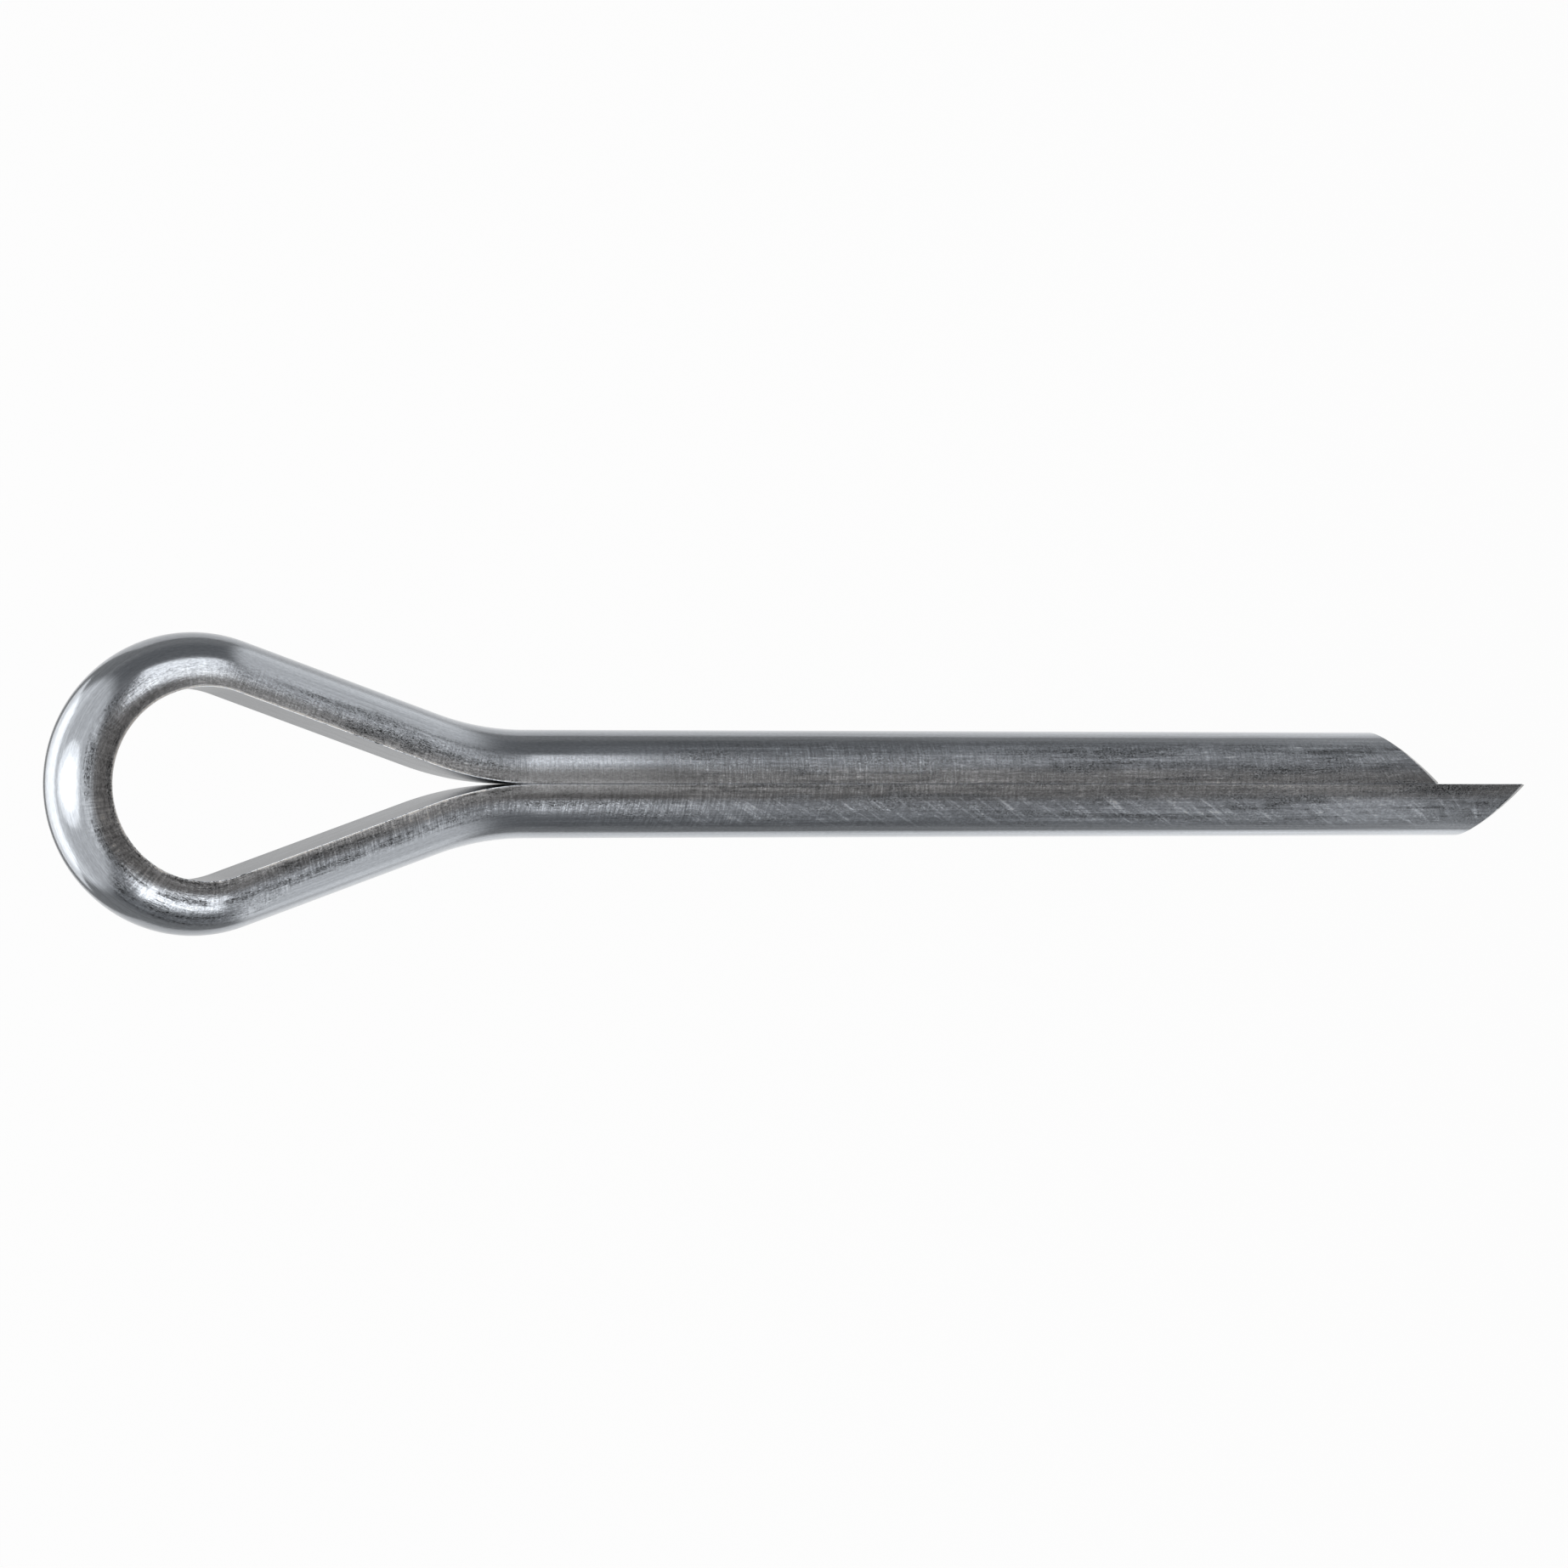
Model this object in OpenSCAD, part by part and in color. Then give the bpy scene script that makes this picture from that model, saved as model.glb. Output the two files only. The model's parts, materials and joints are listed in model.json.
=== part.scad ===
// Split cotter pin with a round eye and an extended bevelled prong, in millimetres.
// One length of half-round wire, bent back on itself so that its flat lies inside all the way round.
// The pin lies flat: its bends are in the XY plane, and +X runs along the shank to the points.
// The origin is on the shank's axis, where the two prongs come together.

/* [Wire] */
// Diameter of the closed shank, measured across both prongs
shank_d = 5.7; // [3:0.1:10]
// Gap between the prongs' flats where they lie side by side
seam_gap = 0.02; // [0.02:0.01:0.3]
// Width of the flat that breaks each long edge of the wire, at 45 degrees to it
edge_break = 0.08; // [0.04:0.02:0.6]

/* [Eye] */
// Width of the eye's opening, from flat to flat
eye_w = 9.95; // [6:0.05:24]
// Angle between each straight side of the eye and the shank
side_angle = 19.5; // [12:0.5:32]
// Radius of the bend from a side of the eye into the shank, on the wire's round face
shoulder_r = 14.35; // [3:0.05:40]

/* [Prongs] */
// Nominal length, from the mouth of the drilled hole to the point of the short prong
nominal_l = 56; // [20:1:120]
// How much wider the drilled hole is than the shank
hole_play = 1.05; // [0.3:0.05:1.6]
// How far the long prong reaches past the short one
long_extra = 5.3; // [1:0.1:20]
// Angle between the cut at each end and the shank's axis
cut_angle = 45; // [30:1:75]

/* [Hidden] */
$fn = 96;

wire_r = shank_d / 2;
flat_y = seam_gap / 2; // each prong's flat stands this far off the shank's axis
eye_r = eye_w / 2;
bend_r = shoulder_r + wire_r - flat_y; // the shoulder's radius on the wire's flat

// The sides' flats, drawn on to the prongs' flats, would meet them bend_run short of the shank.
bend_run = bend_r * tan(side_angle / 2);
side_run = (eye_r - flat_y * cos(side_angle)) / sin(side_angle);
eye_x = -(side_run + bend_run);
side_l = (side_run - eye_r * sin(side_angle)) / cos(side_angle) - bend_run;

// The pin stops in its hole where the shoulders have spread by the hole's play.
spread = hole_play / 2;
bend_spread = shoulder_r * (1 - cos(side_angle));
seat_x = spread < bend_spread
    ? -sqrt(pow(shoulder_r, 2) - pow(shoulder_r - spread, 2))
    : -(shoulder_r * sin(side_angle) + (spread - bend_spread) / tan(side_angle));
short_x = seat_x + nominal_l;
long_x = short_x + long_extra;

lap = shank_d / 50; // each straight side of the eye runs this far into the bends at its ends
lap_skin = shank_d / 500; // and its skin lies this far inside theirs
past = 1; // how far a cutting shape passes what it cuts

// Half-round section: the flat is on the Y axis, the round face towards +X and centred on the shank's axis.
module wire_section(skin = 0) {
    side = 2 * (wire_r + past);
    corner = wire_r - skin - edge_break / sqrt(2);
    intersection() {
        translate([-flat_y, 0]) circle(wire_r - skin);
        polygon([
            [skin, -corner],
            [skin + side, -corner - side],
            [skin + side, corner + side],
            [skin, corner],
        ]);
    }
}

// Rounds the eye from one side to the other, the long way about.
module eye_bow() {
    translate([eye_x, 0, 0])
        rotate_extrude(angle = 180 + 2 * side_angle, start = 90 - side_angle)
            translate([eye_r, 0]) wire_section();
}

module eye_side() {
    translate([eye_x, 0, 0]) rotate([0, 0, -side_angle]) translate([-lap, eye_r, 0])
        rotate([90, 0, 90]) linear_extrude(side_l + 2 * lap) wire_section(lap_skin);
}

// Turns a side of the eye into the line of the shank, round face inwards.
module shoulder() {
    translate([0, flat_y + bend_r, 0])
        rotate_extrude(angle = side_angle, start = -90 - side_angle)
            translate([bend_r, 0]) mirror([1, 0]) wire_section();
}

// A straight prong to tip_x, cut so that its point is on the flat.
module prong(tip_x) {
    high = wire_r + past;
    back = high / tan(cut_angle);
    difference() {
        translate([0, flat_y, 0]) rotate([90, 0, 90]) linear_extrude(tip_x + past) wire_section();
        translate([tip_x, flat_y, 0]) linear_extrude(2 * high, center = true)
            polygon([[back, -high], [2 * back + past, -high], [2 * back + past, high], [-back, high]]);
    }
}

module half(tip_x) {
    eye_side();
    shoulder();
    prong(tip_x);
}

module cotter_pin() {
    color("silver") {
        eye_bow();
        half(short_x);
        mirror([0, 1, 0]) half(long_x);
    }
}

cotter_pin();
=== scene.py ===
"""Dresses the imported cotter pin: one bent length of half-round wire with a bright zinc finish."""

import json
import logging
import math
from dataclasses import dataclass, field
from enum import Enum
from functools import cache, reduce
from operator import add, mul
from typing import Any

import bpy
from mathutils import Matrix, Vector


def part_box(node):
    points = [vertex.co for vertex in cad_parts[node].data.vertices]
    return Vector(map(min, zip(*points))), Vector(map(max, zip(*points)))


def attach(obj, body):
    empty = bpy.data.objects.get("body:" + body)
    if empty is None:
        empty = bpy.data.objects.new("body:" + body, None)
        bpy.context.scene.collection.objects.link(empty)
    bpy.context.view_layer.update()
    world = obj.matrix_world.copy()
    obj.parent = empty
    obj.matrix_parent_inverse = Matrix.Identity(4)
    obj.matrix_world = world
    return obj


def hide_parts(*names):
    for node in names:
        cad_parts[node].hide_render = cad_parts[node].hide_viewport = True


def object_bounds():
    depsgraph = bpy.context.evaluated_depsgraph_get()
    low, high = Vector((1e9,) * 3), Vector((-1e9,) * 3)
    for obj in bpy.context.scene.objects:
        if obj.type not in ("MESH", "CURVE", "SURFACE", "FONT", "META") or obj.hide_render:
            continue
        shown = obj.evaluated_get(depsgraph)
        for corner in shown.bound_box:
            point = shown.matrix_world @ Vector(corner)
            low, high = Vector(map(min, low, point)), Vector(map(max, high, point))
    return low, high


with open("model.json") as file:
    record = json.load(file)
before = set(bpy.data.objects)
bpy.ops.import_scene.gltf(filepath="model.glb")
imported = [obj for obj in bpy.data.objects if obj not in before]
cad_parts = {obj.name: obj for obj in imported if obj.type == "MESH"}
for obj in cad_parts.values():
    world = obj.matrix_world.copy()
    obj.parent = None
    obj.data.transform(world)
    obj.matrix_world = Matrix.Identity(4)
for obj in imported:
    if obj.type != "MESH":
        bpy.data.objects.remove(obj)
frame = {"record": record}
CAD_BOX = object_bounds()

LOG = logging.getLogger("cotter_pin")
MM = 0.001
ALL = "all"
WHITE = (1.0, 1.0, 1.0, 1.0)
Rgba = tuple[float, float, float, float]
Limits = tuple[float, float]
Mix = dict[str, float]


def mount(name: str) -> dict[str, Any]:
    """Finds one of the record's mounts.

    Args:
        name: The mount's name in the record.

    Returns:
        The mount, with its place, axis and dimensions.
    """
    return next(m for m in frame["record"]["mounts"] if m["name"] == name)


class Field:
    """A value that flows through a node tree, written with ordinary arithmetic."""

    def __init__(self, sheet: "NodeSheet", socket: Any) -> None:
        """Holds a socket of one node sheet.

        Args:
            sheet: The sheet that the socket's node lies on.
            socket: The output socket that carries the value.
        """
        self.sheet = sheet
        self.socket = socket

    def __add__(self, other: Any) -> "Field":
        """Adds a number or a value."""
        return self.sheet.math("ADD", self, other)

    def __sub__(self, other: Any) -> "Field":
        """Takes away a number or a value."""
        return self.sheet.math("SUBTRACT", self, other)

    def __rsub__(self, other: Any) -> "Field":
        """Takes this value from a number."""
        return self.sheet.math("SUBTRACT", other, self)

    def __mul__(self, other: Any) -> "Field":
        """Multiplies by a number or a value."""
        return self.sheet.math("MULTIPLY", self, other)

    def __truediv__(self, other: Any) -> "Field":
        """Divides by a number or a value."""
        return self.sheet.math("DIVIDE", self, other)

    def __rtruediv__(self, other: Any) -> "Field":
        """Divides a number by this value."""
        return self.sheet.math("DIVIDE", other, self)

    __radd__ = __add__
    __rmul__ = __mul__


class NodeSheet:
    """A node tree that is written down one node at a time."""

    def __init__(self, tree: bpy.types.NodeTree) -> None:
        """Starts on a tree.

        Args:
            tree: The geometry or shader node tree to write on.
        """
        self.tree = tree

    def node(self, kind: str, *inputs: Any, **settings: Any) -> bpy.types.Node:
        """Adds a node.

        Args:
            kind: The node's type name.
            inputs: Values or sources for its input sockets, in order. None leaves a socket as it is.
            settings: Properties of the node itself.

        Returns:
            The new node.
        """
        made = self.tree.nodes.new(kind)
        for name, value in settings.items():
            setattr(made, name, value)
        sockets = [s for s in made.inputs if s.enabled]
        for socket, value in zip(sockets, inputs):
            self.feed(socket, value)
        return made

    def feed(self, socket: Any, value: Any) -> None:
        """Sets an input socket, or links a source to it.

        Args:
            socket: The input socket.
            value: A number, a tuple, a Field, a socket, or None for nothing.
        """
        if value is None:
            return
        if isinstance(value, Field):
            self.tree.links.new(value.socket, socket)
        elif isinstance(value, bpy.types.NodeSocket):
            self.tree.links.new(value, socket)
        else:
            socket.default_value = value

    def out(self, kind: str, *inputs: Any, socket: Any = 0, **settings: Any) -> Field:
        """Adds a node and gives one of its outputs.

        Args:
            kind: The node's type name.
            inputs: Values or sources for its input sockets, in order.
            socket: The output's name, or its number among those in use.
            settings: Properties of the node itself.

        Returns:
            The output as a value.
        """
        made = self.node(kind, *inputs, **settings)
        if isinstance(socket, str):
            return Field(self, next(s for s in made.outputs if s.enabled and s.name == socket))
        return Field(self, [s for s in made.outputs if s.enabled][socket])

    def math(self, operation: str, *values: Any) -> Field:
        """Adds a Math node for numbers."""
        return self.out("ShaderNodeMath", *values, operation=operation)

    def ramp(self, value: Any, low: float, high: float, start: float = 0.0, end: float = 1.0) -> Field:
        """Eases from one level to another as a value passes between two limits.

        Args:
            value: What is measured.
            low: The limit where the easing starts.
            high: The limit where it ends.
            start: The level at low.
            end: The level at high.

        Returns:
            The eased level.
        """
        return self.out("ShaderNodeMapRange", value, low, high, start, end, interpolation_type="SMOOTHSTEP")

    def pick(self, data_type: str, index: Field, choices: list[Any]) -> Field:
        """Gives each point the choice that its number calls for.

        Args:
            data_type: The choices' type.
            index: The number.
            choices: One value or source for each number.

        Returns:
            The chosen value.
        """
        made = self.tree.nodes.new("GeometryNodeIndexSwitch")
        made.data_type = data_type
        while len(made.index_switch_items) < len(choices):
            made.index_switch_items.new()
        for socket, value in zip(made.inputs, [index, *choices]):
            self.feed(socket, value)
        return Field(self, made.outputs[0])

    def fillet(self, line: Field, radius: Field, steps: int) -> Field:
        """Rounds off the corners of a curve.

        Args:
            line: The curve.
            radius: The radius at each corner.
            steps: How many straight steps make a rounded corner.

        Returns:
            The rounded curve.
        """
        made = self.node("GeometryNodeFilletCurve", mode="POLY")
        for name, value in (("Curve", line), ("Count", steps), ("Radius", radius), ("Limit Radius", True)):
            self.feed(made.inputs[name], value)
        return Field(self, made.outputs[0])

    def split(self, vector: Field) -> list[Field]:
        """Takes a vector apart into its three numbers."""
        made = self.node("ShaderNodeSeparateXYZ", vector)
        return [Field(self, socket) for socket in made.outputs]

    def mix_colour(self, share: Any, first: Any, second: Any) -> Field:
        """Mixes two colours by a share from 0 to 1."""
        made = self.tree.nodes.new("ShaderNodeMix")
        made.data_type = "RGBA"
        inputs = [s for s in made.inputs if s.enabled]
        for socket, value in zip(inputs, (share, first, second)):
            self.feed(socket, value)
        return Field(self, next(s for s in made.outputs if s.enabled))

    def group(self, tree: bpy.types.NodeTree, *inputs: Any) -> Field:
        """Places a shader group and gives its first output."""
        made = self.tree.nodes.new("ShaderNodeGroup")
        made.node_tree = tree
        for socket, value in zip(made.inputs, inputs):
            self.feed(socket, value)
        return Field(self, made.outputs[0])


@dataclass
class WireForm:
    """The bent half-round wire, built as one sweep of its section along the path of its flat."""

    side_angle: float = math.radians(19.5)
    shoulder_round_r: float = 14.35 * MM
    half_gap: float = 0.0005 * MM
    edge_r: float = 0.05 * MM
    long_extra: float = 5.3 * MM
    cut_angle: float = math.radians(45)
    cut_reach: float = 6.0 * MM
    ring_step: float = 0.2 * MM
    rim_width: float = 0.1 * MM
    half_round_middle: float = 4 / (3 * math.pi)
    crease: float = math.radians(8)
    flat_depth: float = 0.0005 * MM
    bend_steps: int = 64
    round_points: int = 56
    edge_steps: int = 5
    wire_r: float = field(default_factory=lambda: mount("shank")["dims"]["r_mm"] * MM)
    eye_x: float = field(default_factory=lambda: mount("eye")["pos_m"][0])
    eye_flat_r: float = 0.0
    long_x: float = 0.0

    def __post_init__(self) -> None:
        """Takes the eye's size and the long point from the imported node's box."""
        low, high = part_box("cotter_pin")
        self.eye_flat_r = high[1] - (self.wire_r - self.half_gap)
        self.long_x = high[0]

    def tree(self, material: bpy.types.Material) -> bpy.types.NodeTree:
        """Writes the geometry tree.

        Args:
            material: The finish that its last node sets.

        Returns:
            The tree, with a named input for each size.
        """
        tree = bpy.data.node_groups.new("half_round_wire", "GeometryNodeTree")
        tree.interface.new_socket("Geometry", in_out="INPUT", socket_type="NodeSocketGeometry")
        for name in self.inputs():
            tree.interface.new_socket(name, in_out="INPUT", socket_type="NodeSocketFloat")
        tree.interface.new_socket("Geometry", in_out="OUTPUT", socket_type="NodeSocketGeometry")
        sheet = NodeSheet(tree)
        size = {s.name: Field(sheet, s) for s in sheet.node("NodeGroupInput").outputs if s.name}
        path = self.path(sheet, size)
        wire = sheet.out("GeometryNodeCurveToMesh", path, self.section(sheet, size), None, True)
        wire = self.cut_ends(sheet, size, wire)
        wire = sheet.out("GeometryNodeSetShadeSmooth", wire)
        crease = sheet.out("GeometryNodeInputMeshEdgeAngle")
        sharp = sheet.math("GREATER_THAN", crease, self.crease)
        wire = sheet.out("GeometryNodeSetShadeSmooth", wire, sharp, False, domain="EDGE")
        wire = sheet.out("GeometryNodeRealizeInstances", wire)
        wire = sheet.out("GeometryNodeSetMaterial", wire, None, material)
        sheet.node("NodeGroupOutput", wire)
        return tree

    def inputs(self) -> dict[str, float]:
        """Returns the tree's named inputs and their values, in metres and radians."""
        return {
            "Wire Radius": self.wire_r,
            "Half Gap": self.half_gap,
            "Edge Radius": self.edge_r,
            "Eye Radius": self.eye_flat_r,
            "Eye Centre": self.eye_x,
            "Side Angle": self.side_angle,
            "Shoulder Radius": self.shoulder_round_r,
            "Long Point": self.long_x,
            "Long Extra": self.long_extra,
            "Cut Angle": self.cut_angle,
            "Cut Reach": self.cut_reach,
            "Ring Step": self.ring_step,
            "Rim Width": self.rim_width,
        }

    def path(self, sheet: NodeSheet, size: dict[str, Field]) -> Field:
        """Draws the line of the wire's flat, from the short point round the eye to the long point.

        It is a polygon with its corners rounded off, and three of them make the eye's bow.

        Args:
            sheet: The tree to write on.
            size: The tree's inputs.

        Returns:
            The path as a curve, with each ring's distance along it.
        """
        bend_r = size["Shoulder Radius"] + size["Wire Radius"] - size["Half Gap"]
        bend_x = 0.0 - bend_r * sheet.math("TANGENT", size["Side Angle"] / 2.0)
        third = (size["Side Angle"] * 2.0 + math.pi) / 3.0
        reach = size["Eye Radius"] / sheet.math("COSINE", third / 2.0)
        slant_x = size["Eye Centre"] - reach * sheet.math("COSINE", third)
        slant_y = reach * sheet.math("SINE", third)
        below = 0.0 - size["Half Gap"]
        corners = [
            (size["Long Point"] - size["Long Extra"], size["Half Gap"], 0.0),
            (bend_x, size["Half Gap"], bend_r),
            (slant_x, slant_y, size["Eye Radius"]),
            (size["Eye Centre"] - reach, 0.0, size["Eye Radius"]),
            (slant_x, 0.0 - slant_y, size["Eye Radius"]),
            (bend_x, below, bend_r),
            (size["Long Point"], below, 0.0),
        ]
        index = sheet.out("GeometryNodeInputIndex")
        places = [sheet.out("ShaderNodeCombineXYZ", x, y, 0.0) for x, y, _ in corners]
        line = sheet.out("GeometryNodeMeshLine", len(corners))
        line = sheet.out("GeometryNodeMeshToCurve", line)
        line = sheet.out("GeometryNodeSetPosition", line, None, sheet.pick("VECTOR", index, places))
        rounding = sheet.pick("FLOAT", index, [r for _, _, r in corners])
        line = sheet.fillet(line, rounding, self.bend_steps)
        line = sheet.out("GeometryNodeResampleCurve", line, None, size["Ring Step"], mode="LENGTH")
        line = sheet.out("GeometryNodeSetCurveNormal", line, mode="Z_UP")
        return self.marked(sheet, line, "along")

    def section(self, sheet: NodeSheet, size: dict[str, Field]) -> Field:
        """Draws the half-round section with its flat on the path.

        Args:
            sheet: The tree to write on.
            size: The tree's inputs.

        Returns:
            The section as a closed curve, with each point's distance round it and a mark on the flat.
        """
        lost = sheet.math("ARCSINE", size["Half Gap"] / size["Wire Radius"])
        arc = sheet.out(
            "GeometryNodeCurveArc",
            self.round_points,
            size["Wire Radius"],
            lost - math.pi / 2,
            math.pi - lost * 2.0,
            mode="RADIUS",
        )
        shift = sheet.out("ShaderNodeCombineXYZ", 0.0 - size["Half Gap"], 0.0, 0.0)
        arc = sheet.out("GeometryNodeSetPosition", arc, None, None, shift)
        arc = sheet.out("GeometryNodeSetSplineCyclic", arc, None, True)
        ends = sheet.out("GeometryNodeCurveEndpointSelection", 1, 1)
        arc = sheet.fillet(arc, ends * size["Edge Radius"], self.edge_steps)
        arc = self.marked(sheet, arc, "around")
        across = sheet.split(sheet.out("GeometryNodeInputPosition"))[0]
        flat = sheet.math("LESS_THAN", across, self.flat_depth)
        return sheet.out("GeometryNodeStoreNamedAttribute", arc, None, "flat", flat)

    @staticmethod
    def marked(sheet: NodeSheet, line: Field, name: str) -> Field:
        """Writes each point's distance along a curve into a named attribute."""
        length = sheet.out("GeometryNodeSplineParameter", socket="Length")
        return sheet.out("GeometryNodeStoreNamedAttribute", line, None, name, length)

    def cut_ends(self, sheet: NodeSheet, size: dict[str, Field], wire: Field) -> Field:
        """Leans the rings near each end over, so that the end is cut with its point on the flat.

        Args:
            sheet: The tree to write on.
            size: The tree's inputs.
            wire: The swept wire with square ends.

        Returns:
            The wire with slanted ends and blunted rims, and each point's distance from its end.
        """
        x, y, z = sheet.split(sheet.out("GeometryNodeInputPosition"))
        is_short = sheet.math("GREATER_THAN", y, 0.0)
        point = size["Long Point"] - is_short * size["Long Extra"]
        wire = sheet.out("GeometryNodeStoreNamedAttribute", wire, None, "from_end", point - x)
        from_end = sheet.out("GeometryNodeInputNamedAttribute", "from_end", data_type="FLOAT")
        height = sheet.math("ABSOLUTE", y) - size["Half Gap"]
        share = sheet.math("MAXIMUM", 1.0 - from_end / size["Cut Reach"], 0.0)
        back = height * share / sheet.math("TANGENT", size["Cut Angle"])
        at_end = sheet.math("LESS_THAN", from_end, size["Ring Step"] / 2.0)
        inward = at_end * size["Rim Width"] / size["Wire Radius"]
        middle = size["Wire Radius"] * self.half_round_middle * sheet.math("SIGN", y)
        move = sheet.out("ShaderNodeCombineXYZ", 0.0 - back, (middle - y) * inward, 0.0 - z * inward)
        return sheet.out("GeometryNodeSetPosition", wire, None, None, move)

    def build(self, material: bpy.types.Material) -> bpy.types.Object:
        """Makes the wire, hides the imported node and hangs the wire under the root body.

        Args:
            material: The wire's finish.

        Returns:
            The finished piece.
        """
        blank = bpy.data.objects.new("wire_tree", bpy.data.meshes.new("wire_tree"))
        bpy.context.scene.collection.objects.link(blank)
        tree = self.tree(material)
        modifier = blank.modifiers.new("wire", "NODES")
        modifier.node_group = tree
        values = self.inputs()
        for item in tree.interface.items_tree:
            if item.in_out == "INPUT" and item.name in values:
                modifier[item.identifier] = values[item.name]
        bpy.context.view_layer.update()
        mesh = bpy.data.meshes.new_from_object(blank.evaluated_get(bpy.context.evaluated_depsgraph_get()))
        bpy.data.objects.remove(blank)
        piece = bpy.data.objects.new("bent_wire", mesh)
        bpy.context.scene.collection.objects.link(piece)
        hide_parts("cotter_pin")
        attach(piece, "root")
        return piece


@dataclass(frozen=True)
class Marks:
    """Fine parallel marks of one kind: their direction, spacing, length and patches, in millimetres."""

    angle: float
    spacing: float
    length: float
    patch: float
    cover: float

    def mask(self, sheet: NodeSheet, place: Field) -> Field:
        """Places the marks on a surface.

        Args:
            sheet: The finish's node sheet.
            place: The place on the wire, in millimetres along it and round it.

        Returns:
            How strongly each spot is marked, round 0.
        """
        turn = math.radians(self.angle)
        return sheet.group(marks_group(), place, turn, self.spacing, self.length, self.patch, self.cover)


class Axis(Enum):
    """A measure of a point's place: along or across the pin, or away from its middle."""

    ALONG = "x"
    ACROSS = "y"
    ASIDE = "distance from the split"
    UP = "distance from mid height"


@dataclass(frozen=True)
class Stretch:
    """A stretch of the pin in millimetres. It eases in between two limits, or round a middle."""

    axis: Axis
    none: float
    full: float
    middle: float | None = None

    def share(self, sheet: NodeSheet, places: dict[Axis, Field]) -> Field:
        """Finds how far a point lies within the stretch.

        Args:
            sheet: The finish's node sheet.
            places: The point's place on each axis, in metres.

        Returns:
            The share, from 0 to 1.
        """
        value = places[self.axis]
        if self.middle is not None:
            value = sheet.math("ABSOLUTE", value - self.middle * MM)
        return sheet.ramp(value, self.none * MM, self.full * MM)


@dataclass(frozen=True)
class Zone:
    """A place on the shank, in millimetres, where the colour is lighter or darker by some stops: partly the
    plating's own tone, partly painted highlights and painted shade that follow the lamps' reflections.
    """

    x: float
    x_reach: float
    y: float
    y_reach: float
    change: float
    full_part: float = 0.5

    def stops(self, sheet: NodeSheet, places: dict[Axis, Field]) -> Field:
        """Finds how much the zone lightens a point.

        Args:
            sheet: The finish's node sheet.
            places: The point's place on each axis, in metres.

        Returns:
            The change in stops.
        """
        along = Stretch(Axis.ALONG, self.x_reach, self.x_reach * self.full_part, self.x)
        across = Stretch(Axis.ACROSS, self.y_reach, self.y_reach * self.full_part, self.y)
        return along.share(sheet, places) * across.share(sheet, places) * self.change


class Shares(dict[str, Field]):
    """How far each region of the wire covers a point, and how strongly each kind of mark lies on it."""

    def mix(self, parts: Mix) -> Any:
        """Adds up shares by their weights.

        Args:
            parts: The weight of each share. ALL stands for the whole wire.

        Returns:
            The sum.
        """
        terms = []
        for name, weight in parts.items():
            if name == ALL:
                terms.append(weight)
            else:
                terms.append(self[name] if weight == 1.0 else self[name] * weight)
        return reduce(add, terms)

    def product(self, factors: tuple[Mix, ...]) -> Any:
        """Multiplies several sums of shares together."""
        return reduce(mul, (self.mix(parts) for parts in factors))


class Side(Enum):
    """Which part of a kind of mark shows: both sides of its level, only the raised side, or its size."""

    BOTH = None
    RAISED = ("MAXIMUM", 0.0)
    SIZE = ("ABSOLUTE",)


@dataclass(frozen=True)
class Layer:
    """One kind of mark: where it lies, how many stops it lightens by, and how deep it is."""

    name: str
    marks: Marks
    tone: Mix
    cover: tuple[Mix, ...] = ()
    side: Side = Side.BOTH
    depth: float = 0.0

    def lay(self, sheet: NodeSheet, place: Field, shares: Shares) -> None:
        """Adds the marks' strength to the shares, under the layer's name and as it would be anywhere.

        Args:
            sheet: The finish's node sheet.
            place: The place on the wire, in millimetres along it and round it.
            shares: The shares that its cover is made of.
        """
        value = self.marks.mask(sheet, place)
        if self.side.value:
            operation, *limit = self.side.value
            value = sheet.math(operation, value, *limit)
        shares[f"{self.name} anywhere"] = value
        shares[self.name] = value * shares.product(self.cover) if self.cover else value


# Each region is the product of its stretches.
REGIONS: dict[str, tuple[Stretch, ...]] = {
    "shank": (Stretch(Axis.ALONG, -2.0, 12.0),),
    # Where the shank's sides take a painted sheen, growing away from the eye.
    "lower shank": (Stretch(Axis.ALONG, 12.0, 44.0),),
    "far": (Stretch(Axis.ALONG, 18.0, 32.0),),
    "points": (Stretch(Axis.ALONG, 46.0, 54.0),),
    "past shoulder": (Stretch(Axis.ALONG, -3.0, 1.0),),
    "eye": (Stretch(Axis.ALONG, 0.0, -4.0),),
    "bow": (Stretch(Axis.ALONG, -18.0, -22.0),),
    "crown": (Stretch(Axis.ALONG, 6.0, 2.0, -18.0), Stretch(Axis.ACROSS, 0.0, 3.0)),
    "long side": (Stretch(Axis.ACROSS, -0.3, -1.1),),
    "long bow": (Stretch(Axis.ACROSS, -4.0, -6.0), Stretch(Axis.ALONG, -12.0, -16.0)),
    "long shank": (Stretch(Axis.ACROSS, -0.3, -1.1), Stretch(Axis.ALONG, 6.0, 16.0)),
    "calm": (Stretch(Axis.ALONG, 7.0, 3.0, 3.0), Stretch(Axis.ACROSS, -1.1, -0.3)),
    # Where a painted highlight row lies on the calm stretch.
    "calm row": (Stretch(Axis.ACROSS, 0.75, 1.2),),
    "smooth patch": (Stretch(Axis.ALONG, 3.4, 1.2, 48.5), Stretch(Axis.ACROSS, 0.85, 0.4, -1.25)),
    "inner track": (Stretch(Axis.ACROSS, 0.34, 0.14, 0.95),),
    "outer track": (Stretch(Axis.ACROSS, 0.34, 0.14, 1.92),),
    "rim row": (Stretch(Axis.ASIDE, 0.28, 0.06, 2.17), Stretch(Axis.ALONG, -2.0, 2.0)),
}
SMOOTHED: Mix = {ALL: 1.0, "calm": -0.65, "crown": -0.65}


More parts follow.
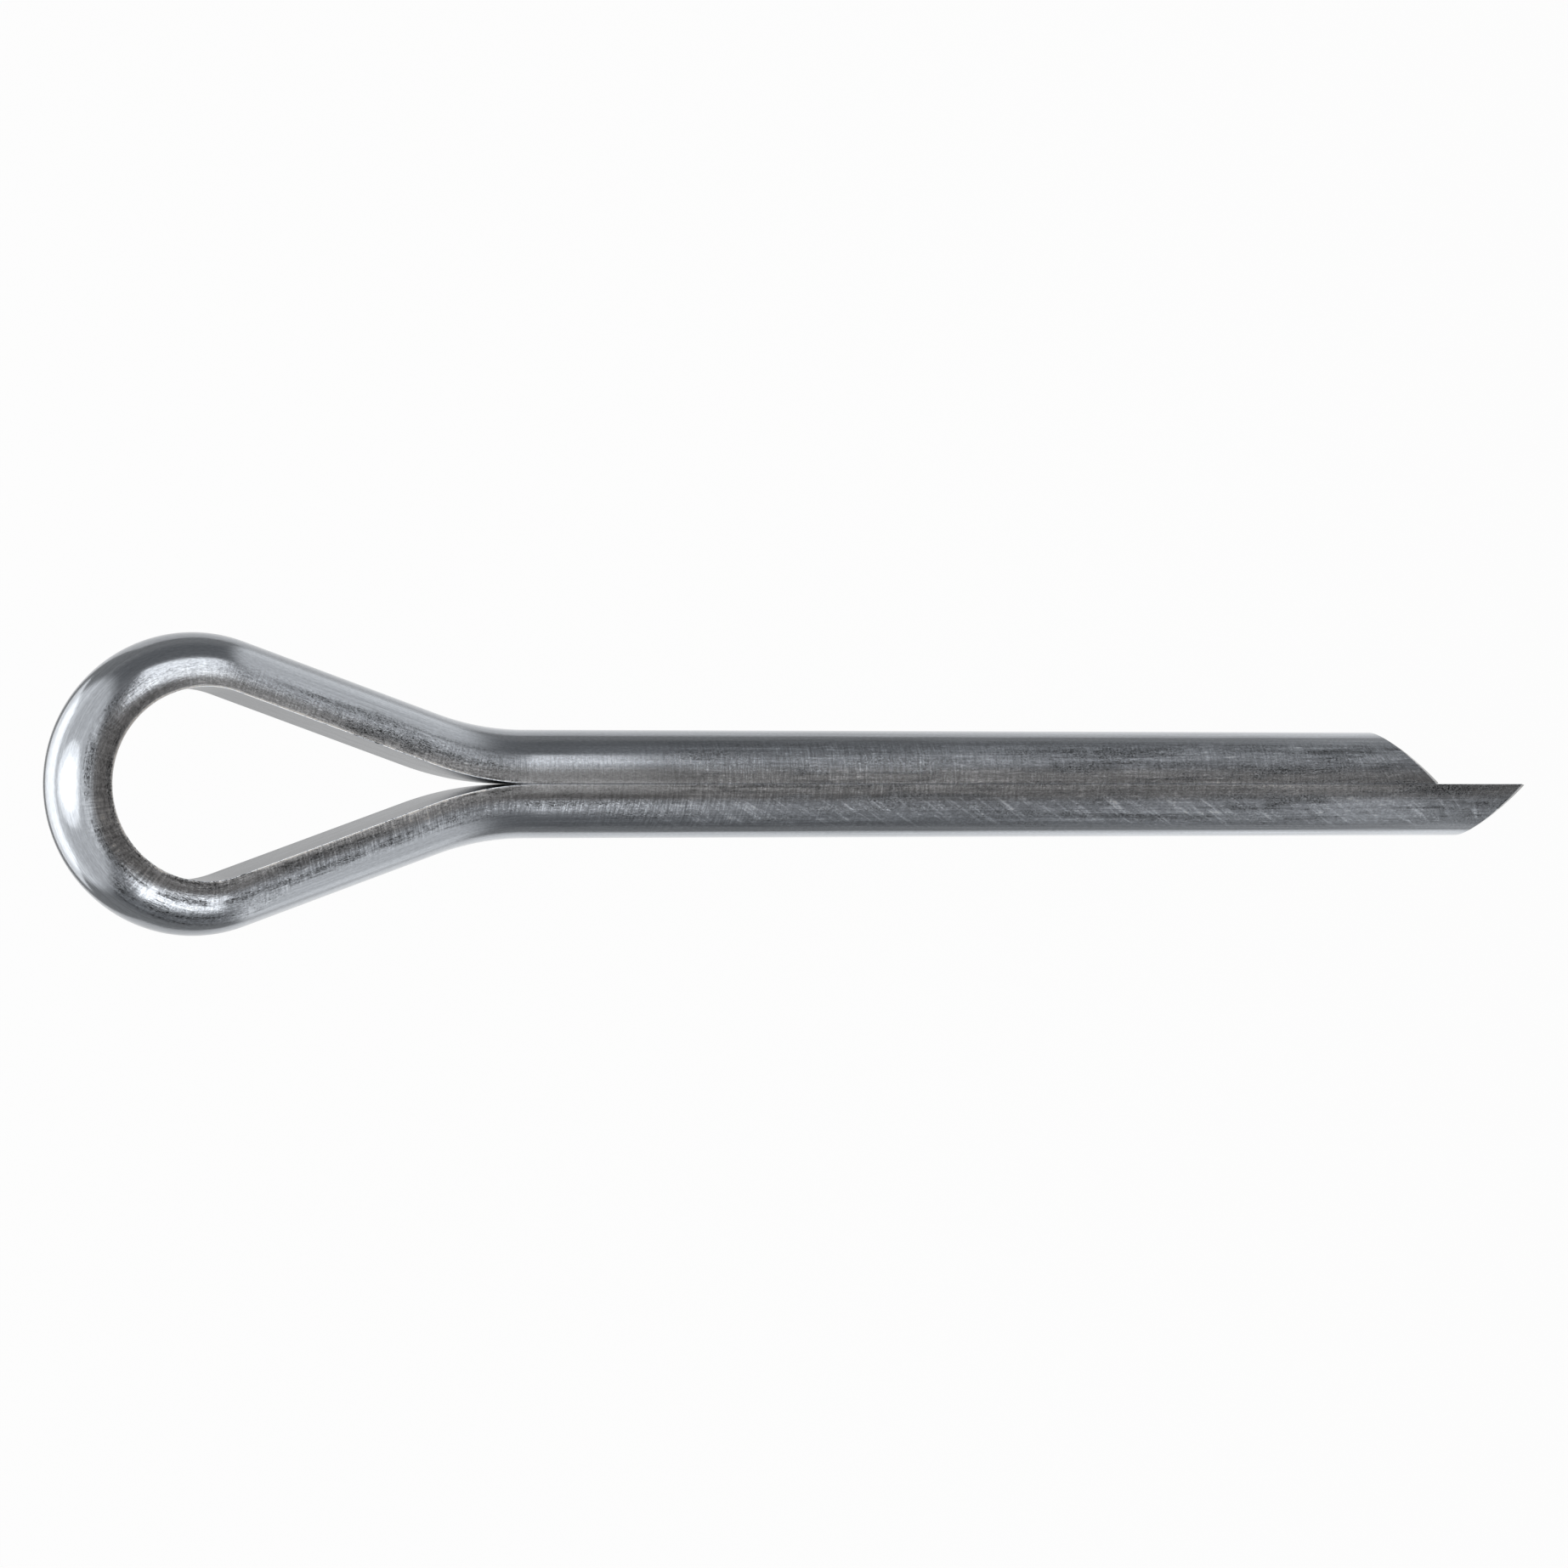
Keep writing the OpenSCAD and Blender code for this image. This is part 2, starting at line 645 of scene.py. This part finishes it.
@dataclass(frozen=True)
class BrightZinc:
    """Bright zinc plating over drawn steel wire, scuffed along and across the wire, with painted highlights
    and painted shade in places.
    """

    wire_r: float
    zinc: Rgba = (0.43, 0.453, 0.484, 1.0)
    steel: Rgba = (0.5, 0.492, 0.484, 1.0)
    flat_edge_tint: Rgba = (0.6, 0.595, 0.59, 1.0)
    roughness: float = 0.14
    worn_roughness: float = 0.23
    worn_part: float = 0.6
    mark_depth: float = 0.003 * MM
    bare_marks_lost: float = 0.75
    flat_run: float = 0.3
    flat_across: float = 0.15
    flat_apart: float = 20.0
    bare_reach: Limits = (0.2 * MM, 0.1 * MM)
    edge_glint_reach: Limits = (0.18 * MM, 0.10 * MM)
    eye_face: Stretch = Stretch(Axis.UP, 2.25, 2.7)
    shank_face: Stretch = Stretch(Axis.UP, 1.5, 2.2)
    long_bow_rise: float = 0.7 * MM
    calm_kept: Mix = field(default_factory=lambda: {ALL: 1.0, "calm": -0.7})
    rows: Limits = (0.0, -0.25)
    even: Limits = (0.35, 0.0)
    blotched: Layer = Layer(
        "blotched",
        Marks(angle=0.0, spacing=0.5, length=8.0, patch=4.0, cover=-0.2),
        {ALL: 0.2, "worn": 0.5},
        (SMOOTHED,),
    )
    layers: tuple[Layer, ...] = (
        Layer(
            "grain",
            Marks(angle=0.0, spacing=0.10, length=0.25, patch=2.0, cover=-0.2),
            {ALL: 0.38, "worn": 0.4},
            depth=0.2,
        ),
        Layer(
            "drawn",
            Marks(angle=0.0, spacing=0.16, length=12.0, patch=6.0, cover=-0.2),
            {ALL: 0.35, "shank": 0.2},
            (SMOOTHED,),
            depth=0.3,
        ),
        Layer(
            "rubbed",
            Marks(angle=86.0, spacing=0.14, length=1.1, patch=3.0, cover=0.30),
            {ALL: 0.7, "shank": 0.3, "long side": 0.7, "crown": -0.3},
            (
                {"worn": 1.0},
                {ALL: 1.0, "long shank": -0.7},
                {ALL: 1.0, "far": -0.4},
                {ALL: 1.0, "long bow": -0.45},
            ),
            depth=0.8,
        ),
        Layer(
            "struck",
            Marks(angle=-34.0, spacing=0.30, length=3.4, patch=1.8, cover=0.32),
            {ALL: 0.6, "shank": 1.5},
            (
                {"worn": 1.0},
                {"long side": 1.0},
                {"past shoulder": 1.0},
                {ALL: 1.0, "smooth patch": -0.6},
            ),
            Side.RAISED,
        ),
        Layer(
            "flecked",
            Marks(angle=2.0, spacing=0.13, length=0.8, patch=1.5, cover=0.42),
            {ALL: 1.1, "far": 0.5},
            ({"worn": 1.0},),
            Side.RAISED,
        ),
        Layer(
            "pitted",
            Marks(angle=0.0, spacing=0.11, length=0.20, patch=1.8, cover=0.34),
            {ALL: -2.8, "shank": 1.7, "far": -0.9},
            (
                {"worn": 1.0},
                {ALL: 1.0, "rows": 3.5},
                {ALL: 1.0, "crown": -0.5},
                {ALL: 1.0, "smooth patch": -0.6},
            ),
            Side.SIZE,
            depth=0.8,
        ),
    )
    # Each shift in tone is the product of its factors, in stops.
    shifts: tuple[tuple[Mix, ...], ...] = (
        # Painted highlight: the thin light line next to the flat, strongest on the eye and its bow.
        ({"edge": 1.0}, {ALL: 0.15, "eye": 0.95, "bow": 0.8}),
        ({"worn": 1.0}, {ALL: 0.42, "shank": -0.3, "bow": 0.15, "points": -0.42}),
        # Painted highlight: a lighter row on the calm face, with slight painted shade below it.
        ({"calm": 1.0}, {"face": 1.0}, {ALL: -0.1, "calm row": 0.4}),
        # Painted shade: the face on the bow's crown is darkened to dim the lamp's highlight there.
        ({"crown": -0.25}, {"face": 1.0}),
        # Painted reflection: the curved sides of the shank grow lighter away from the eye; the face only a
        # little.
        ({"lower shank": 0.3}, {"curved": 1.0}, {ALL: 1.0, "face": -0.7}),
        ({"rim row": -1.0}, {"curved": 1.0}, {ALL: 1.0, "far": -0.7}, {ALL: 0.22, "blotched": 1.2}),
        (
            {"inner track": -1.0, "outer track": -1.0},
            {"far": 1.0},
            {"worn": 1.0},
            {ALL: 0.1, "pitted anywhere": 2.0},
            {"even": 1.0},
        ),
    )
    # Partly the plating's own tone, partly painted highlights and painted shade along the lamps'
    # reflections on the shank.
    tone_and_light_zones: tuple[Zone, ...] = (
        Zone(x=11.0, x_reach=6.0, y=0.8, y_reach=1.1, change=-0.33),
        Zone(x=4.0, x_reach=9.0, y=0.5, y_reach=0.35, change=-0.3),
        Zone(x=5.0, x_reach=4.0, y=1.4, y_reach=0.5, change=0.25),
        Zone(x=0.0, x_reach=4.0, y=1.1, y_reach=0.6, change=-0.2),
        Zone(x=23.0, x_reach=4.0, y=1.1, y_reach=0.7, change=0.12),
        Zone(x=31.0, x_reach=9.0, y=1.5, y_reach=0.7, change=0.25),
        Zone(x=45.0, x_reach=8.0, y=-0.5, y_reach=0.6, change=0.25),
        Zone(x=48.5, x_reach=4.2, y=-1.25, y_reach=0.85, change=0.3),
    )

    def material(self) -> bpy.types.Material:
        """Writes the finish.

        Returns:
            The material.
        """
        made = bpy.data.materials.new("bright_zinc")
        made.use_nodes = True
        made.node_tree.nodes.clear()
        sheet = NodeSheet(made.node_tree)
        place, shares = self.wire_shares(sheet)
        places = self.places(sheet)
        self.add_regions(sheet, places, shares)
        self.blotched.lay(sheet, place, shares)
        shares["rows"] = sheet.ramp(shares["blotched"], *self.rows)
        shares["even"] = sheet.ramp(shares["blotched"], *self.even)
        for layer in self.layers:
            layer.lay(sheet, place, shares)
        shader = sheet.node("ShaderNodeBsdfPrincipled")
        shader.inputs["Metallic"].default_value = 1.0
        sheet.feed(shader.inputs["Base Color"], self.colour(sheet, places, shares))
        dulled = shares["worn"] * self.worn_part + shares["flat"]
        roughness = sheet.ramp(dulled, 0.0, 1.0, self.roughness, self.worn_roughness)
        sheet.feed(shader.inputs["Roughness"], roughness)
        height = shares.mix({layer.name: layer.depth for layer in self.layers if layer.depth})
        bump = sheet.out("ShaderNodeBump", 1.0, self.mark_depth, None, height)
        sheet.feed(shader.inputs["Normal"], bump)
        edge_tint = sheet.mix_colour(shares["flat"], WHITE, self.flat_edge_tint)
        sheet.feed(shader.inputs["Specular Tint"], edge_tint)
        sheet.node("ShaderNodeOutputMaterial", shader.outputs["BSDF"])
        return made

    def colour(self, sheet: NodeSheet, places: dict[Axis, Field], shares: Shares) -> Field:
        """Works out the metal's colour, lightened and darkened by the marks and by painted highlights and
        painted shade.

        Args:
            sheet: The finish's node sheet.
            places: The point's place on each axis, in metres.
            shares: The regions and the marks.

        Returns:
            The colour.
        """
        stops = [shares[layer.name] * shares.mix(layer.tone) for layer in (self.blotched, *self.layers)]
        stops += [shares.product(shift) for shift in self.shifts]
        stops += [zone.stops(sheet, places) * shares["curved"] for zone in self.tone_and_light_zones]
        change = reduce(add, stops) * (1.0 - shares["bare steel"] * self.bare_marks_lost)
        metal = sheet.mix_colour(shares["bare steel"], self.zinc, self.steel)
        tone = sheet.math("POWER", 2.0, change)
        return sheet.out("ShaderNodeVectorMath", metal, tone, operation="SCALE")

    @staticmethod
    def places(sheet: NodeSheet) -> dict[Axis, Field]:
        """Reads the point's place on each axis, in metres."""
        x, y, z = sheet.split(sheet.out("ShaderNodeTexCoord", socket="Object"))
        aside, up = (sheet.math("ABSOLUTE", value) for value in (y, z))
        return {Axis.ALONG: x, Axis.ACROSS: y, Axis.ASIDE: aside, Axis.UP: up}

    def wire_shares(self, sheet: NodeSheet) -> tuple[Field, Shares]:
        """Reads the wire's own attributes.

        Args:
            sheet: The finish's node sheet.

        Returns:
            The place along and round the wire in millimetres, and the shares of the flat, of the curved
            skin, of bare steel where the wire was cut, and of the painted highlight next to the flat.
        """
        along, around, flat, from_end = (
            sheet.out("ShaderNodeAttribute", attribute_name=name, socket="Fac")
            for name in ("along", "around", "flat", "from_end")
        )
        run = along / MM * (1.0 - flat * (1.0 - self.flat_run))
        across = around / MM * (1.0 - flat * (1.0 - self.flat_across))
        place = sheet.out("ShaderNodeCombineXYZ", run, across, flat * self.flat_apart)
        curved = 1.0 - flat
        to_edge = math.pi / 2 * self.wire_r
        off_middle = sheet.math("ABSOLUTE", around - to_edge)
        # Painted highlight: a thin light line on the curved skin next to the flat.
        edge = sheet.ramp(off_middle, *(to_edge - reach for reach in self.edge_glint_reach)) * curved
        bare = sheet.ramp(from_end, *self.bare_reach)
        return place, Shares({"flat": flat, "curved": curved, "bare steel": bare, "edge": edge})

    def add_regions(self, sheet: NodeSheet, places: dict[Axis, Field], shares: Shares) -> None:
        """Adds the regions of the pin, its upward face, and the worn part of that.

        Args:
            sheet: The finish's node sheet.
            places: The point's place on each axis, in metres.
            shares: The shares so far, which are added to.
        """
        for name, stretches in REGIONS.items():
            shares[name] = reduce(mul, (stretch.share(sheet, places) for stretch in stretches))
        for name in ("calm", "crown"):
            shares[name] = shares[name] * shares["curved"]
        raised = places[Axis.UP] + shares["long bow"] * self.long_bow_rise
        face = self.eye_face.share(sheet, {Axis.UP: raised})
        shank_face = self.shank_face.share(sheet, places)
        shares["face"] = face + (shank_face - face) * shares["shank"]
        shares["worn"] = shares.product(({"face": 1.0}, {"curved": 1.0}, self.calm_kept))


LINE_DETAIL = 4.0
LINE_ROUGHNESS = 0.65
LINE_CONTRAST = 2.6
PATCH_DETAIL = 3.0
PATCH_ROUGHNESS = 0.6
PATCH_EASE = 0.15
NOISE_MIDDLE = 0.5


@cache
def marks_group() -> bpy.types.NodeTree:
    """Writes the shader group for fine parallel marks that come in patches.

    Returns:
        The group. It puts out a strength round 0.
    """
    tree = bpy.data.node_groups.new("marks", "ShaderNodeTree")
    tree.interface.new_socket("Place", in_out="INPUT", socket_type="NodeSocketVector")
    for name in ("Angle", "Spacing", "Length", "Patch", "Cover"):
        tree.interface.new_socket(name, in_out="INPUT", socket_type="NodeSocketFloat")
    tree.interface.new_socket("Strength", in_out="OUTPUT", socket_type="NodeSocketFloat")
    sheet = NodeSheet(tree)
    size = {s.name: Field(sheet, s) for s in sheet.node("NodeGroupInput").outputs if s.name}
    turned = sheet.node("ShaderNodeVectorRotate", rotation_type="Z_AXIS")
    sheet.feed(turned.inputs["Vector"], size["Place"])
    sheet.feed(turned.inputs["Angle"], size["Angle"])
    along, across, apart = sheet.split(Field(sheet, turned.outputs[0]))
    spot = sheet.out("ShaderNodeCombineXYZ", along / size["Length"], across / size["Spacing"], apart)
    lines = sheet.out("ShaderNodeTexNoise", spot, 1.0, LINE_DETAIL, LINE_ROUGHNESS)
    scale = 1.0 / size["Patch"]
    patches = sheet.out("ShaderNodeTexNoise", size["Place"], scale, PATCH_DETAIL, PATCH_ROUGHNESS)
    patches = sheet.ramp(patches, size["Cover"], size["Cover"] + PATCH_EASE)
    sheet.node("NodeGroupOutput", (lines - NOISE_MIDDLE) * LINE_CONTRAST * patches)
    return tree


class Outline(Enum):
    """The outline of a lamp's face."""

    BOX = "RECTANGLE"
    ROUND = "ELLIPSE"


@dataclass(frozen=True)
class Lamp:
    """One soft lamp, placed by the direction in which the pin sees it.

    Its polar angle is counted down from overhead, and its azimuth round from the points.
    """

    name: str
    polar: float
    azimuth: float
    distance: float
    width: float
    height: float
    radiance: float
    outline: Outline = Outline.BOX

    def hang(self, target: Vector) -> None:
        """Adds the lamp to the scene.

        Args:
            target: The point that it faces.
        """
        data = bpy.data.lights.new(self.name, "AREA")
        data.shape = self.outline.value
        data.size, data.size_y = self.width, self.height
        round_share = math.pi / 4 if self.outline is Outline.ROUND else 1.0
        data.energy = self.radiance * math.pi * self.width * self.height * round_share
        lamp = bpy.data.objects.new(self.name, data)
        polar, azimuth = math.radians(self.polar), math.radians(self.azimuth)
        level = math.sin(polar)
        toward = Vector((level * math.cos(azimuth), level * math.sin(azimuth), math.cos(polar)))
        lamp.location = target + toward * self.distance
        lamp.rotation_euler = toward.to_track_quat("Z", "Y").to_euler()
        bpy.context.scene.collection.objects.link(lamp)


@dataclass(frozen=True)
class Floor:
    """A pale sheet a little below the pin. The glow that the plating sees in it is painted light: it fades
    towards its sides and the eye, and is brighter in a patch next to the long prong.
    """

    drop: float = 37.5 * MM
    x: Limits = (-27.0 * MM, 110.0 * MM)
    half_y: float = 62.0 * MM
    tone: Rgba = (0.92, 0.92, 0.92, 1.0)
    glow: float = 0.945
    bright_y: float = -5.0 * MM
    fade: Limits = (75.0 * MM, 5.0 * MM)
    by_eye_x: Limits = (-10.0 * MM, 8.0 * MM)
    by_eye: float = 0.65
    lit_x: Limits = (0.0, 16.0 * MM)
    lit_y: Limits = (-5.0 * MM, -16.0 * MM)
    lit: float = 0.9

    def lay(self) -> None:
        """Adds the sheet to the scene."""
        z = CAD_BOX[0][2] - self.drop
        low_x, high_x = self.x
        half = self.half_y
        mesh = bpy.data.meshes.new("floor")
        corners = [(low_x, -half, z), (high_x, -half, z), (high_x, half, z), (low_x, half, z)]
        mesh.from_pydata(corners, [], [(0, 1, 2, 3)])
        floor = bpy.data.objects.new("floor", mesh)
        bpy.context.scene.collection.objects.link(floor)
        mesh.materials.append(self.paint())

    def paint(self) -> bpy.types.Material:
        """Makes the sheet's paint, which looks white and still takes the pin's soft shadow.

        Returns:
            The material.
        """
        paint = bpy.data.materials.new("pale_floor")
        paint.use_nodes = True
        paint.node_tree.nodes.clear()
        sheet = NodeSheet(paint.node_tree)
        seen = sheet.out("ShaderNodeLightPath", socket="Is Camera Ray")
        mirrored = sheet.out("ShaderNodeLightPath", socket="Is Glossy Ray")
        x, y, _ = sheet.split(sheet.out("ShaderNodeTexCoord", socket="Object"))
        off = sheet.math("ABSOLUTE", y - self.bright_y)
        level = sheet.ramp(off, *self.fade) * sheet.ramp(x, *self.by_eye_x, self.by_eye, 1.0)
        # A painted pool of light: the glow that the plating sees is brighter in a patch next to the long
        # prong, away from the eye.
        lit_patch = sheet.ramp(x, *self.lit_x) * sheet.ramp(y, *self.lit_y)
        level = level * (lit_patch * self.lit + 1.0)
        share = sheet.math("MAXIMUM", seen, mirrored * level) * self.glow
        matt = sheet.out("ShaderNodeBsdfDiffuse", self.tone)
        glow = sheet.out("ShaderNodeEmission", WHITE, 1.0)
        sheet.node("ShaderNodeOutputMaterial", sheet.out("ShaderNodeMixShader", share, matt, glow))
        return paint


@dataclass(frozen=True)
class Surroundings:
    """The studio round the pin: pale at both ends, with a dim gap across the middle.

    Its places are directions as seen from the pin, each part from -1 to 1.
    """

    backdrop: Rgba = (0.978, 0.978, 0.978, 1.0)
    walls: Rgba = (0.87, 0.87, 0.87, 1.0)
    walls_low: Rgba = (1.2, 1.2, 1.2, 1.0)
    walls_fall: Limits = (-0.1, -0.4)
    end_by_eye: Limits = (-0.44, -0.60)
    end_by_points: Limits = (0.55, 0.67)
    end_bend: float = 0.15
    gap: Rgba = (0.205, 0.208, 0.213, 1.0)
    gap_low: Rgba = (0.30, 0.30, 0.30, 1.0)
    gap_falls: Limits = (-0.1, -0.35)
    gap_high: Rgba = (0.265, 0.265, 0.27, 1.0)
    gap_rises: Limits = (0.3, 0.45)
    overhead: Rgba = (0.152, 0.139, 0.128, 1.0)
    overhead_from: Limits = (0.70, 0.82)
    glow: Rgba = (0.95, 0.905, 0.86, 1.0)
    glow_x: float = 0.29
    glow_x_reach: Limits = (0.065, 0.02)
    glow_y: float = 0.1
    glow_y_reach: Limits = (0.55, 0.25)

    def paint(self) -> None:
        """Paints the scene's world."""
        world = bpy.data.worlds.new("studio")
        world.use_nodes = True
        world.node_tree.nodes.clear()
        bpy.context.scene.world = world
        sheet = NodeSheet(world.node_tree)
        x, y, z = sheet.split(sheet.out("ShaderNodeTexCoord", socket="Generated"))
        bent_x = x + sheet.math("ABSOLUTE", y) * self.end_bend
        ends = sheet.ramp(x, *self.end_by_eye) + sheet.ramp(bent_x, *self.end_by_points)
        gap = sheet.mix_colour(sheet.ramp(z, *self.gap_falls), self.gap, self.gap_low)
        gap = sheet.mix_colour(sheet.ramp(z, *self.gap_rises), gap, self.gap_high)
        top = sheet.ramp(z, *self.overhead_from)
        gap = sheet.mix_colour(top, gap, self.overhead)
        glow = sheet.ramp(sheet.math("ABSOLUTE", x - self.glow_x), *self.glow_x_reach)
        glow = glow * sheet.ramp(sheet.math("ABSOLUTE", y - self.glow_y), *self.glow_y_reach) * top
        gap = sheet.mix_colour(glow, gap, self.glow)
        walls = sheet.mix_colour(sheet.ramp(z, *self.walls_fall), self.walls, self.walls_low)
        colour = sheet.mix_colour(ends, gap, walls)
        seen = sheet.out("ShaderNodeLightPath", socket="Is Camera Ray")
        colour = sheet.mix_colour(seen, colour, self.backdrop)
        sheet.node("ShaderNodeOutputWorld", sheet.out("ShaderNodeBackground", colour, 1.0))


@dataclass(frozen=True)
class Studio:
    """The floor, surroundings, lamps and camera. The camera looks down, a little from the eye's end."""

    yaw: float = math.radians(20.704)
    distance: float = 318.2 * MM
    aim_x: float = 14.63 * MM
    lens: float = 137.05
    sensor: float = 36.0
    clip_start: float = 10.0 * MM
    floor: Floor = Floor()
    surroundings: Surroundings = Surroundings()
    lamps_face: tuple[float, float, float] = (-10.0 * MM, 0.0, 0.0)
    lamps: tuple[Lamp, ...] = (
        Lamp(
            "box_by_short_prong", polar=45.4, azimuth=87.1, distance=0.204,
            width=0.142, height=0.137, radiance=1.42,
        ),
        Lamp(
            "box_by_long_prong", polar=52.3, azimuth=-89.4, distance=0.171,
            width=0.113, height=0.103, radiance=1.5,
        ),
        Lamp(
            "round_by_eye", polar=82.0, azimuth=180.0, distance=0.26,
            width=0.21, height=0.25, radiance=1.0, outline=Outline.ROUND,
        ),
        Lamp(
            "round_by_eye_middle", polar=82.0, azimuth=180.0, distance=0.25,
            width=0.12, height=0.15, radiance=1.4, outline=Outline.ROUND,
        ),
        Lamp(
            "card_under_eye", polar=137.0, azimuth=180.0, distance=0.2,
            width=0.28, height=0.15, radiance=1.0,
        ),
    )

    def build(self) -> None:
        """Sets up everything that isn't part of the object."""
        self.floor.lay()
        self.camera()
        for lamp in self.lamps:
            lamp.hang(Vector(self.lamps_face))
        self.surroundings.paint()
        bpy.context.scene.view_settings.view_transform = "Standard"

    def camera(self) -> None:
        """Adds the camera."""
        data = bpy.data.cameras.new("camera")
        data.lens = self.lens
        data.sensor_width = self.sensor
        data.clip_start = self.clip_start
        camera = bpy.data.objects.new("camera", data)
        back = self.distance
        camera.location = (self.aim_x - back * math.sin(self.yaw), 0.0, back * math.cos(self.yaw))
        camera.rotation_euler = (0.0, -self.yaw, 0.0)
        bpy.context.scene.collection.objects.link(camera)
        bpy.context.scene.camera = camera


def main() -> None:
    """Builds the wire and the studio, and reports each piece."""
    logging.basicConfig(level=logging.INFO, format="%(name)s: %(message)s")
    form = WireForm()
    wire = form.build(BrightZinc(form.wire_r).material())
    LOG.info("%s: %d faces", wire.name, len(wire.data.polygons))
    Studio().build()


if __name__ == "__main__":
    main()
